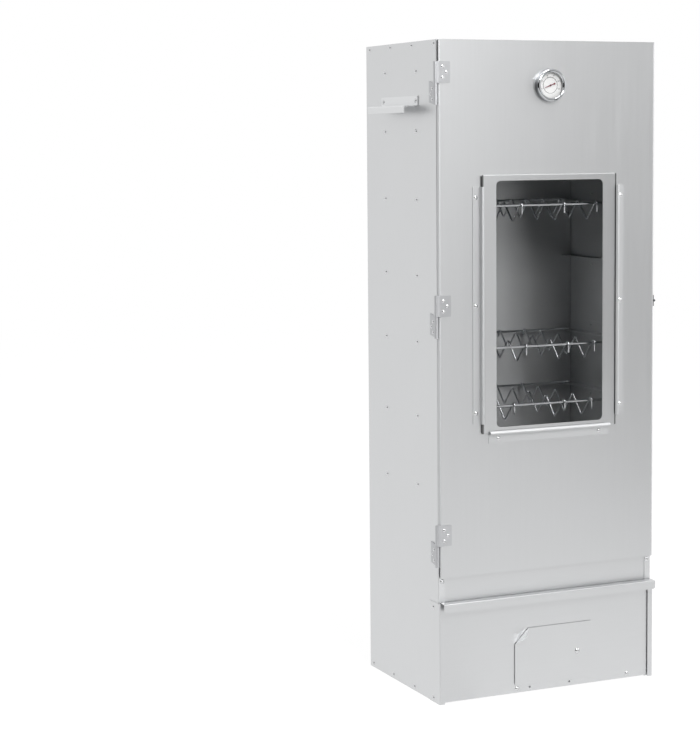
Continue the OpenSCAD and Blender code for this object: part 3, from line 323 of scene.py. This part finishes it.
def aluminised_sheet(name, streak, rough=0.39, tone=None, edge=None, crazed=0.3, track_shade_from=None):
    """Hot-dip aluminised steel sheet, rolled satin: a pale, slightly cloudy metal with faint rolling
    streaks and a little waviness. streak is the size in millimetres of a rolling streak along X, Y, Z.
    Real rolling lines are 0.1 mm wide, too fine for the render, so they are drawn 3 mm wide. Where the
    sheet is bent, its coating is crazed and dull: edge is the distance in millimetres from the middle,
    along X, at which the bends start, and crazed is how much rougher they are. Where a frame lies behind
    the lips of its tracks, its side strips are painted dark as the lips' shade: the last argument is the
    distance at which those strips start."""
    cloud_size, grit_size, wave_size = 90 * MM, 2.2 * MM, 160 * MM
    streak_sheen, cloud_share, track_shade_share = 0.015, 0.35, 0.85
    edge_fade, track_shade_fade = 1 * MM, 1.2 * MM
    tone = tone or colours().sheet
    dark, light, track_shade_tone = toned(tone, 0.965), toned(tone, 1.025), toned(tone, 0.12)

    material, tree = new_material(name)
    place = put(tree, "ShaderNodeTexCoord").outputs["Object"]
    scale = [1 / (s * MM) for s in streak]
    along = put(tree, "ShaderNodeMapping", {"Vector": place, "Scale": scale}).outputs[0]
    lines = put(
        tree, "ShaderNodeTexNoise", {"Vector": along, "Scale": 1.0, "Detail": 3.0, "Roughness": 0.6}
    ).outputs["Fac"]
    cloud = put(
        tree, "ShaderNodeTexNoise", {"Vector": place, "Scale": 1 / cloud_size, "Detail": 2.0}
    ).outputs["Fac"]
    grit = put(
        tree, "ShaderNodeTexNoise", {"Vector": place, "Scale": 1 / grit_size, "Detail": 2.0}
    ).outputs["Fac"]
    wave = put(
        tree, "ShaderNodeTexNoise", {"Vector": place, "Scale": 1 / wave_size, "Detail": 1.0}
    ).outputs["Fac"]

    streaked = put(tree, "ShaderNodeMix", {0: lines, 6: dark, 7: light}, data_type="RGBA").outputs[2]
    clouded = put(tree, "ShaderNodeMix", {0: cloud, 6: dark, 7: light}, data_type="RGBA").outputs[2]
    colour = put(
        tree, "ShaderNodeMix", {0: cloud_share, 6: streaked, 7: clouded}, data_type="RGBA"
    ).outputs[2]
    sheen = put(
        tree,
        "ShaderNodeMapRange",
        {
            "Value": lines,
            "From Min": 0.3,
            "From Max": 0.7,
            "To Min": rough - streak_sheen,
            "To Max": rough + streak_sheen,
        },
    ).outputs[0]
    across = put(tree, "ShaderNodeSeparateXYZ", {0: place}).outputs["X"]
    out = put(tree, "ShaderNodeMath", {0: across}, operation="ABSOLUTE").outputs[0]
    # Painted shade: a frame's side strips, behind the lips of its tracks, are darkened strongly towards near
    # black
    if track_shade_from:
        start = track_shade_from * MM
        track_shadow = put(
            tree,
            "ShaderNodeMapRange",
            {"Value": out, "From Min": start, "From Max": start + track_shade_fade, "To Max": track_shade_share},
        ).outputs[0]
        colour = put(tree, "ShaderNodeMix", {0: track_shadow, 6: colour, 7: track_shade_tone}, data_type="RGBA").outputs[2]
    if edge:
        start = edge * MM
        dull = put(
            tree,
            "ShaderNodeMapRange",
            {"Value": out, "From Min": start, "From Max": start + edge_fade, "To Max": crazed},
        ).outputs[0]
        sheen = put(tree, "ShaderNodeMath", {0: sheen, 1: dull}, operation="ADD").outputs[0]
    wavy = put(tree, "ShaderNodeBump", {"Height": wave, "Strength": 0.06, "Distance": 1.5 * MM}).outputs[0]
    gritty = put(
        tree, "ShaderNodeBump", {"Height": grit, "Strength": 0.05, "Distance": 0.1 * MM, "Normal": wavy}
    ).outputs[0]
    shader = put(
        tree,
        "ShaderNodeBsdfPrincipled",
        {"Base Color": colour, "Metallic": 1.0, "Roughness": sheen, "Normal": gritty},
    )
    finish_material(tree, shader)
    return material


def mottled(name, tone, metallic, rough, grain):
    """A plain finish with a mottled tone and sheen: a noise of the given grain in millimetres takes the
    colour from 8 percent darker to 6 percent lighter and moves the roughness by 15 percent, with pits
    under a tenth of a millimetre."""
    sheen_share = 0.15
    material, tree = new_material(name)
    place = put(tree, "ShaderNodeTexCoord").outputs["Object"]
    speck = put(
        tree, "ShaderNodeTexNoise", {"Vector": place, "Scale": 1 / (grain * MM), "Detail": 4.0}
    ).outputs["Fac"]
    shade = put(
        tree, "ShaderNodeMix", {0: speck, 6: toned(tone, 0.92), 7: toned(tone, 1.06)}, data_type="RGBA"
    ).outputs[2]
    sheen = put(
        tree,
        "ShaderNodeMapRange",
        {
            "Value": speck,
            "From Min": 0.3,
            "From Max": 0.7,
            "To Min": (1 - sheen_share) * rough,
            "To Max": (1 + sheen_share) * rough,
        },
    ).outputs[0]
    pits = put(tree, "ShaderNodeBump", {"Height": speck, "Strength": 0.06, "Distance": 0.1 * MM}).outputs[0]
    shader = put(
        tree,
        "ShaderNodeBsdfPrincipled",
        {"Base Color": shade, "Metallic": metallic, "Roughness": sheen, "Normal": pits},
    )
    finish_material(tree, shader)
    return material


def clear_pane(name, alpha, smear):
    """Float glass: nearly clear, with a thin reflection, and a faint wiped smear of the given size in
    millimetres that only shows in its gloss."""
    material, tree = new_material(name)
    place = put(tree, "ShaderNodeTexCoord").outputs["Object"]
    wipe = put(
        tree, "ShaderNodeTexNoise", {"Vector": place, "Scale": 1 / (smear * MM), "Detail": 3.0}
    ).outputs["Fac"]
    gloss = put(
        tree,
        "ShaderNodeMapRange",
        {"Value": wipe, "From Min": 0.4, "From Max": 0.75, "To Min": 0.02, "To Max": 0.09},
    ).outputs[0]
    shader = put(
        tree,
        "ShaderNodeBsdfPrincipled",
        {"Base Color": colours().glass, "Roughness": gloss, "IOR": 1.52, "Alpha": alpha},
    )
    finish_material(tree, shader)
    return material


def dress(material, *nodes):
    """Puts one material on CAD nodes."""
    for name in nodes:
        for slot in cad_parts[name].material_slots:
            slot.material = material


# Operators


class SMOKER_OT_sheet(bpy.types.Operator):
    """Satin sheet on every folded and pressed piece, with the rolling lines along its length"""

    bl_idname = "smoker.sheet"
    bl_label = "Sheet finish"

    def execute(self, context):
        tone = colours()
        dress(
            aluminised_sheet("aluminised_sheet_upright", UPRIGHT),
            "left_side", "right_side", "left_guide", "right_guide",
        )
        dress(
            aluminised_sheet("aluminised_sheet_level", LEVEL),
            "front_strip", "draught_panel", "air_shutter", "water_pan",
        )
        dress(
            aluminised_sheet("aluminised_sheet_deep", DEEP),
            "roof", "floor_pan", "left_rails", "right_rails", "damper_plate",
        )
        dress(aluminised_sheet("aluminised_sheet_door", UPRIGHT, edge=DOOR_BEND), "door_panel")
        # Sheet that sliding or smoke has dulled: the tracks, the sill and the back wall
        dress(aluminised_sheet("aluminised_sheet_track", UPRIGHT, rough=0.46), "left_track", "right_track")
        dress(aluminised_sheet("aluminised_sheet_sill", LEVEL, rough=0.54), "sill_track")
        dress(aluminised_sheet("aluminised_sheet_dull", UPRIGHT, rough=0.6), "back_panel")
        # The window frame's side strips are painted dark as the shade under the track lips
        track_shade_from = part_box("window_frame")[1][0] / MM - TRACK_SHADE_STRIP
        dress(aluminised_sheet("aluminised_sheet_frame", UPRIGHT, rough=0.345, track_shade_from=track_shade_from), "window_frame")
        # Handles: the sheet painted a shade lighter as painted light on their lips, and rougher
        dress(
            aluminised_sheet("aluminised_sheet_handle_painted_light", DEEP, rough=0.45, tone=tone.handle),
            "left_handle", "right_handle",
        )
        # Zinc-plated pressings: a shade greyer than the sheet, with shorter streaks, dull at their bends
        short = (STREAK_W, STREAK_W, STREAK_L / 2)
        dress(
            aluminised_sheet(
                "zinc_plated_leaf", short, rough=0.36, tone=tone.leaf, edge=LEAF_BEND, crazed=0.2
            ),
            "hinge_cabinet_leaves", "hinge_door_leaves",
        )
        return {"FINISHED"}


class SMOKER_OT_fittings(bpy.types.Operator):
    """Rivets, pins, pivots, latch, ember tray and seals"""

    bl_idname = "smoker.fittings"
    bl_label = "Fittings finish"

    def execute(self, context):
        tone = colours()
        # Aluminium blind rivets: smooth domed heads that catch a bright point of light
        dress(
            mottled("aluminium_rivet", tone.rivet, metallic=1.0, rough=0.17, grain=2.0),
            "left_rivets", "right_rivets", "back_rivets", "front_rivets",
            "hinge_cabinet_rivets", "hinge_door_rivets", "track_rivets", "panel_rivets",
            "shutter_pivot", "damper_pivot", "hinge_pins",
        )
        # Blackened steel: a dark oxide skin with a low, uneven sheen
        dress(
            mottled("blackened_steel", tone.oxide, metallic=0.7, rough=0.42, grain=6.0),
            "latch_pivot", "latch_hook", "latch_keeper", "keeper_rivets", "ember_tray",
        )
        # Moulded silicone: near black and dull
        dress(
            mottled("silicone_seal", tone.seal, metallic=0.0, rough=0.7, grain=1.5),
            "door_seal", "window_bead",
        )
        return {"FINISHED"}


class SMOKER_OT_racks(bpy.types.Operator):
    """Round zigzag wires on their rods, in place of the faceted ones"""

    bl_idname = "smoker.racks"
    bl_label = "Rack wires"

    def execute(self, context):
        # Drawn stainless wire: smooth and bright, with long highlights and dark reflections
        drawn = mottled("drawn_stainless_wire", colours().wire, metallic=1.0, rough=0.13, grain=3.0)
        r = sizes().rod_d / 2
        for body, lanes in RACK_LANES.items():
            low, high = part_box(body + "_rods")
            line = zigzag_line(low[1] + r, high[1] - r, (low[2] + high[2]) / 2)
            points, faces = [], []
            for x in lanes:
                wire, rings = zigzag_points(x * MM, line)
                faces += tube_faces(rings, WIRE_SIDES, sum(map(len, points)))
                points.append(wire)
            name = body + "_round_wires"
            piece = mesh_piece(name, np.concatenate(points), faces, drawn, body)
            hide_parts(body + "_wires")
            dress(drawn, body + "_rods")
        return {"FINISHED"}


class SMOKER_OT_thermometer(bpy.types.Operator):
    """Bright case, white dial with a printed scale, red needle and clear lens"""

    bl_idname = "smoker.thermometer"
    bl_label = "Thermometer"

    def execute(self, context):
        tone, size = colours(), sizes()
        # Chromed steel: a mirror that breaks into white and black bands on the half-round ring, its tone set
        # darker than chrome so that part of the black is painted dark reflection
        bright = mottled("chromed_steel", tone.chrome, metallic=1.0, rough=0.06, grain=12.0)
        # Drawn steel, toned far darker than steel as a painted dark reflection on the cup, with a soft sheen
        # round the cup
        dull = mottled("drawn_steel_cup_painted_dark", tone.cup, metallic=1.0, rough=0.22, grain=8.0)
        # Baked enamel: a matt white ground
        enamel = mottled("dial_enamel", tone.enamel, metallic=0.0, rough=0.45, grain=1.2)
        # Brushed-on lacquer: a deep red with a little gloss
        lacquer = mottled("needle_lacquer", tone.needle, metallic=0.0, rough=0.35, grain=1.0)
        # Screen ink: flat and near black
        ink = mottled("dial_ink", tone.ink, metallic=0.0, rough=0.5, grain=0.8)
        dress(bright, "thermometer_probe", "thermometer_nut")
        dress(enamel, "thermometer_dial")
        dress(lacquer, "thermometer_needle")
        dress(clear_pane("lens_glass", alpha=0.04, smear=14.0), "thermometer_lens")
        self.case(bright, dull, size)
        centre = front_middle("thermometer_dial", 0)
        self.scale(centre, ink, size)
        self.numbers(centre, ink, size)
        return {"FINISHED"}

    def case(self, bright, dull, size):
        """A round cup with a half-round ring over its rim, in place of the coarser solid: the ring's
        section is the half circle of its width, and the cup's is an L with a ledge under the dial."""
        low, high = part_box("thermometer_case")
        centre = front_middle("thermometer_case", 1)
        r, half = (high[0] - low[0]) / 2, size.bezel_w / 2
        foot = high[1] - low[1] - half
        bow = np.linspace(0, math.pi, BEZEL_STEPS + 1)
        ring = np.stack([r - half + half * np.cos(bow), foot + half * np.sin(bow)], 1)
        bore = r - size.cup_wall
        cup = [
            (size.neck_r, 0),
            (r, 0),
            (r, foot),
            (bore, foot),
            (bore, size.dial_seat),
            (bore - size.dial_ledge, size.dial_seat),
            (bore - size.dial_ledge, size.cup_wall),
            (size.neck_r, size.cup_wall),
        ]
        for name, profile, material in (("bezel", ring, bright), ("cup", cup, dull)):
            points, faces = turned(profile, centre, CASE_SIDES)
            piece = mesh_piece("thermometer_" + name, points, faces, material, "door")
            piece.data.set_sharp_from_angle(angle=math.radians(40))
            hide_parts("thermometer_case")

    def scale(self, centre, ink, size):
        """Marks as flat bars: each is a thin arc or a short radial bar, given by its inner and outer
        radius and its first and last angle, and bent into an arc of as many steps as it needs. Every
        tenth mark is long and thick, every fifth one is between, and the rest are short and thin."""
        marks, arc_step = 50, 4
        bars = [(size.scale_r, size.scale_r + size.scale_w, -180, 180)]
        for k in range(marks + 1):
            turn = math.degrees(size.sweep) * (k / marks - 0.5)
            reach, half = LONG_MARK if k % 10 == 0 else MIDDLE_MARK if k % 5 == 0 else SHORT_MARK
            bars.append((size.scale_r, size.scale_r + reach * MM, turn - half, turn + half))
        points, faces = [], []
        for inner, outer, first, last in bars:
            steps = max(1, int((last - first) / arc_step))
            turn = np.radians(np.linspace(first, last, steps + 1))[:, None]
            r = np.array([inner, outer, outer, inner])
            h = np.array([0, 0, size.print_t, size.print_t])
            faces += tube_faces(steps + 1, len(r), sum(map(len, points)))
            points.append(around(centre, r, turn, h))
        mesh_piece("dial_scale", np.concatenate(points), faces, ink, "door", smooth=False)

    def numbers(self, centre, ink, size):
        """Numbers of degrees along the scale, each set upright with its middle on a circle."""
        texts = ("0", "50", "100", "150", "200", "250")
        r = size.scale_r + LONG_MARK[0] * MM + 0.8 * size.number_h
        for k, text in enumerate(texts):
            turn = size.sweep * (k / (len(texts) - 1) - 0.5)
            curve = bpy.data.curves.new("dial_number_" + text, "FONT")
            curve.body = text
            curve.align_x, curve.align_y = "CENTER", "CENTER"
            curve.size = size.number_h
            curve.extrude = size.print_t / 2
            words = bpy.data.objects.new("dial_number_curve", curve)
            bpy.context.scene.collection.objects.link(words)
            bpy.context.view_layer.update()
            shaped = words.evaluated_get(bpy.context.evaluated_depsgraph_get())
            mesh = bpy.data.meshes.new_from_object(shaped)
            bpy.data.objects.remove(words)
            flat = np.empty(len(mesh.vertices) * 3)
            mesh.vertices.foreach_get("co", flat)
            x, y, z = flat.reshape(-1, 3).T
            place = around(centre, r, turn, size.print_t / 2) + np.stack([x, -z, y], 1)
            mesh.vertices.foreach_set("co", place.ravel())
            mesh.materials.clear()
            mesh.materials.append(ink)
            mesh.update()
            ride_piece("dial_number_" + text, mesh, "door")


class SMOKER_OT_window(bpy.types.Operator):
    """Clear pane in the window frame"""

    bl_idname = "smoker.window"
    bl_label = "Window pane"

    def execute(self, context):
        dress(clear_pane("float_glass", alpha=0.12, smear=60.0), "window_glass")
        return {"FINISHED"}


class SMOKER_OT_stage(bpy.types.Operator):
    """Pale floor, soft studio light and a camera at the photograph's viewing angle"""

    bl_idname = "smoker.stage"
    bl_label = "Stage"

    def execute(self, context):
        scene = context.scene
        scene.view_settings.view_transform = "Standard"
        self.floor(scene)
        self.world(scene)
        # Places of the room's end and side walls, its height, and where the end wall turns dark
        end, side, top, split = -3.4, 4.5, 2.2, 0.35
        self.card(scene, "studio_wall", low=(split, end, 0.9), high=(side, end, top), tone=0.7)
        self.card(scene, "studio_skirting", low=(split, end, 0), high=(side, end, 0.9), tone=0.2)
        self.card(scene, "dark_side", low=(-side, end, 0), high=(split, end, top), tone=0.04)
        self.card(scene, "dark_flag", low=(side, -2.0, 0.5), high=(side, -0.6, 1.8), tone=0.03)
        self.card(scene, "low_flag", low=(0.8, -0.7, 0), high=(1.75, -2.4, 0.45), tone=0.03)
        self.card(scene, "dark_left", low=(-side, end, 0), high=(-side, 0.2, top), tone=0.03)
        self.lamp("key_softbox", place=(-0.3, -2.4, 2.0), aim=(0, -0.13, 0.75), size=0.6, power=34)
        self.lamp("front_panel", place=(0.75, -3.3, 0.95), aim=(0.2, -0.13, 0.8), size=1.4, power=8)
        self.lamp("top_softbox", place=(0.1, -1.0, 2.7), aim=(0, -0.1, 0.7), size=1.0, power=18)
        self.lamp("right_softbox", place=(2.3, -0.9, 1.1), aim=(0, -0.1, 0.6), size=1.6, power=11)
        self.flag(
            self.lamp("window_light", place=(0.15, -2.3, 0.95), aim=(0.03, 0.13, 0.8), size=0.5, power=14)
        )
        self.camera(scene)
        return {"FINISHED"}

    def seen(self, tree):
        """1 for rays that show the background: from the camera, a mirror or through glass."""
        path = put(tree, "ShaderNodeLightPath").outputs
        direct = put(
            tree,
            "ShaderNodeMath",
            {0: path["Is Camera Ray"], 1: path["Is Glossy Ray"]},
            operation="MAXIMUM",
        ).outputs[0]
        return put(
            tree, "ShaderNodeMath", {0: direct, 1: path["Is Transmission Ray"]}, operation="MAXIMUM"
        ).outputs[0]

    def flat_piece(self, scene, name, corners, material):
        """A stage piece of one face with four corners."""
        mesh = bpy.data.meshes.new(name)
        mesh.from_pydata(corners, [], [(0, 1, 2, 3)])
        mesh.materials.append(material)
        piece = bpy.data.objects.new(name, mesh)
        scene.collection.objects.link(piece)
        return piece

    def floor(self, scene):
        """A square sheet 12 m wide, white where it is seen, with a fifth of its light from the lamps
        so that it keeps the shadow."""
        half, paper_tone, glow, glow_share = 6.0, 0.86, 1.15, 0.8
        material, tree = new_material("paper_floor")
        paper_colour = (paper_tone, paper_tone, paper_tone, 1)
        paper = put(tree, "ShaderNodeBsdfDiffuse", {"Color": paper_colour}).outputs[0]
        white = put(tree, "ShaderNodeEmission", {"Color": (1, 1, 1, 1), "Strength": glow}).outputs[0]
        share = put(
            tree, "ShaderNodeMath", {0: self.seen(tree), 1: glow_share}, operation="MULTIPLY"
        ).outputs[0]
        finish_material(tree, put(tree, "ShaderNodeMixShader", {0: share, 1: paper, 2: white}))
        corners = [(-half, -half, 0), (half, -half, 0), (half, half, 0), (-half, half, 0)]
        self.flat_piece(scene, "studio_floor", corners, material)

    def card(self, scene, name, low, high, tone):
        """An upright wall from its low corner to its high one, which only the metal shows: the door and
        panel that look forward mirror the grey ones behind the camera, and round edges the dark ones."""
        material, tree = new_material(name + "_paint")
        finish_material(tree, put(tree, "ShaderNodeBsdfDiffuse", {"Color": (tone, tone, tone, 1)}))
        start, end = low[:2], high[:2]
        corners = [(*start, low[2]), (*start, high[2]), (*end, high[2]), (*end, low[2])]
        wall = self.flat_piece(scene, name, corners, material)
        wall.visible_camera = False
        wall.visible_shadow = False

    def world(self, scene):
        """White where it is seen, and a plain level of soft light everywhere else."""
        soft_level, white_level = 0.45, 1.0
        world = bpy.data.worlds.new("studio_world")
        world.use_nodes = True
        tree = world.node_tree
        tree.nodes.clear()
        soft, white = (
            put(tree, "ShaderNodeBackground", {"Color": (1, 1, 1, 1), "Strength": level}).outputs[0]
            for level in (soft_level, white_level)
        )
        mix = put(tree, "ShaderNodeMixShader", {0: self.seen(tree), 1: soft, 2: white}).outputs[0]
        put(tree, "ShaderNodeOutputWorld", {"Surface": mix})
        scene.world = world

    def lamp(self, name, place, aim, size, power):
        """A square softbox at a place, turned to face a point."""
        light = bpy.data.lights.new(name, "AREA")
        light.shape = "SQUARE"
        light.size = size
        light.energy = power
        lamp = bpy.data.objects.new(name, light)
        lamp.location = place
        way = np.subtract(aim, place)
        flat = math.hypot(way[0], way[1])
        lamp.rotation_euler = (math.atan2(flat, -way[2]), 0, math.atan2(way[1], way[0]) - math.pi / 2)
        bpy.context.scene.collection.objects.link(lamp)
        return lamp

    def flag(self, lamp):
        """Keeps a lamp's light off the door and the floor: it falls only on the pieces behind the window."""
        lit = bpy.data.collections.new("behind_window")
        inside = ["back_panel", "left_side", "right_side", "left_rails", "right_rails", "roof", "water_pan"]
        for rack in RACK_LANES:
            inside += [rack + "_rods", rack + "_round_wires"]
        for name in inside:
            lit.objects.link(bpy.data.objects[name])
        lamp.light_linking.receiver_collection = lit

    def camera(self, scene):
        """The place, turn and lens that lay the cabinet's corners on the photograph's, for an image of
        700 by 750: the lens is the focal length in pixels over 750 times the 36 mm sensor."""
        camera = bpy.data.cameras.new("photo_camera")
        camera.lens = 93.102
        camera.shift_y = -0.08667
        camera.clip_start, camera.clip_end = 0.05, 50
        eye = bpy.data.objects.new("photo_camera", camera)
        eye.location = (-1.5553, -2.83203, 0.89255)
        eye.rotation_euler = [math.radians(a) for a in (85.0511, 0.4637, -24.1394)]
        scene.collection.objects.link(eye)
        scene.camera = eye


class SMOKER_PT_panel(bpy.types.Panel):
    """Lists the steps that dress the smoker"""

    bl_label = "Cabinet smoker"
    bl_idname = "SMOKER_PT_panel"
    bl_space_type = "VIEW_3D"
    bl_region_type = "UI"
    bl_category = "Smoker"

    def draw(self, context):
        column = self.layout.column()
        for step in STEPS:
            column.operator(step.bl_idname)
        for group in (context.scene.smoker_colours, context.scene.smoker_sizes):
            box = self.layout.box()
            for key in group.bl_rna.properties.keys():
                if key not in {"rna_type", "name"}:
                    box.prop(group, key)


STEPS = (
    SMOKER_OT_sheet,
    SMOKER_OT_fittings,
    SMOKER_OT_racks,
    SMOKER_OT_thermometer,
    SMOKER_OT_window,
    SMOKER_OT_stage,
)
CLASSES = (SmokerColours, SmokerSizes) + STEPS + (SMOKER_PT_panel,)


def register():
    for item in CLASSES:
        bpy.utils.register_class(item)
    bpy.types.Scene.smoker_colours = bpy.props.PointerProperty(type=SmokerColours)
    bpy.types.Scene.smoker_sizes = bpy.props.PointerProperty(type=SmokerSizes)


def unregister():
    del bpy.types.Scene.smoker_colours
    del bpy.types.Scene.smoker_sizes
    for item in reversed(CLASSES):
        bpy.utils.unregister_class(item)


def main():
    register()
    bpy.ops.smoker.sheet()
    bpy.ops.smoker.fittings()
    bpy.ops.smoker.racks()
    bpy.ops.smoker.thermometer()
    bpy.ops.smoker.window()
    bpy.ops.smoker.stage()


if __name__ == "__main__":
    main()
